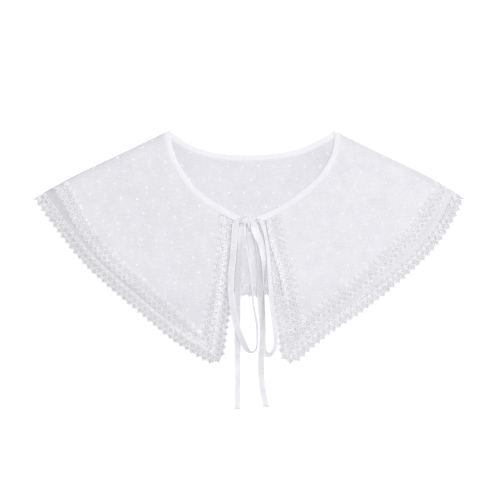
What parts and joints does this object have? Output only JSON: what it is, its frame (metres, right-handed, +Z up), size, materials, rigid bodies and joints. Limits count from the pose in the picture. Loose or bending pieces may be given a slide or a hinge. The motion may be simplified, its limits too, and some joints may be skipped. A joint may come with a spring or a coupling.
{
  "type": "lace cape collar",
  "caption": "Detachable cape collar of sheer dotted voile with scalloped lace edging, laid flat, its neck binding running on into narrow ties in a bow.",
  "frame": {"origin": "the middle of the collar's outline, without its ties, on the surface it lies on", "axes": "+X to the right as seen from above, +Y towards the back of the neck, +Z up out of the surface"},
  "size_m": [0.4645, 0.3012, 0.0107],
  "materials": {
    "voile": "sheer plain-woven cotton with small raised dots",
    "lace": "matte cotton thread, open worked",
    "tape": "smooth satin-matte bias strip"
  },
  "bodies": {
    "root": {"back_panel": "voile", "front_left": "voile", "front_right": "voile", "neck_binding_back": "tape", "neck_binding_left": "tape", "neck_binding_right": "tape", "edging_back": "lace", "edging_left": "lace", "edging_right": "lace", "band_left": "lace", "band_right": "lace", "tie_knot": "tape", "tie_left_loop": "tape", "tie_left_tail": "tape", "tie_right_loop": "tape", "tie_right_tail": "tape"}
  },
  "joints": []
}
